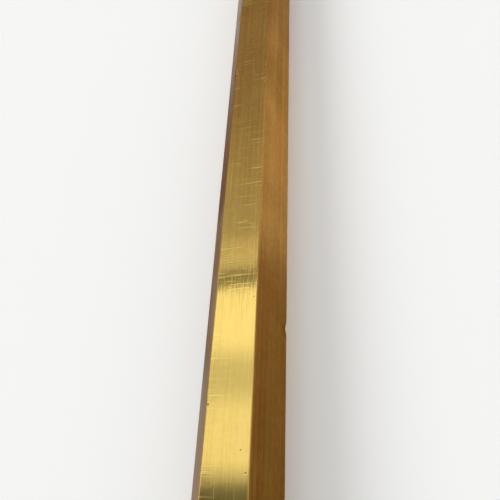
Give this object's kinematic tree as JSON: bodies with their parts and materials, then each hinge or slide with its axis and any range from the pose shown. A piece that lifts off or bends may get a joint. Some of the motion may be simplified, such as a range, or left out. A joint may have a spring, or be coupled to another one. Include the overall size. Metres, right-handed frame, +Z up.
{
  "type": "hexagon brass rod",
  "caption": "Hexagon bar of drawn brass, one solid piece of stock with sawn ends, to be cut and turned into nuts, fittings, spacers and spindles.",
  "frame": {"origin": "on the floor, under the middle of the rod", "axes": "+Y along the rod, +Z up, normal to the flat on top"},
  "size_m": [0.0194, 1, 0.017],
  "materials": {
    "brass": "bright drawn, with die lines along its length and a light brown tarnish"
  },
  "bodies": {
    "root": {"rod": "brass"}
  },
  "joints": []
}
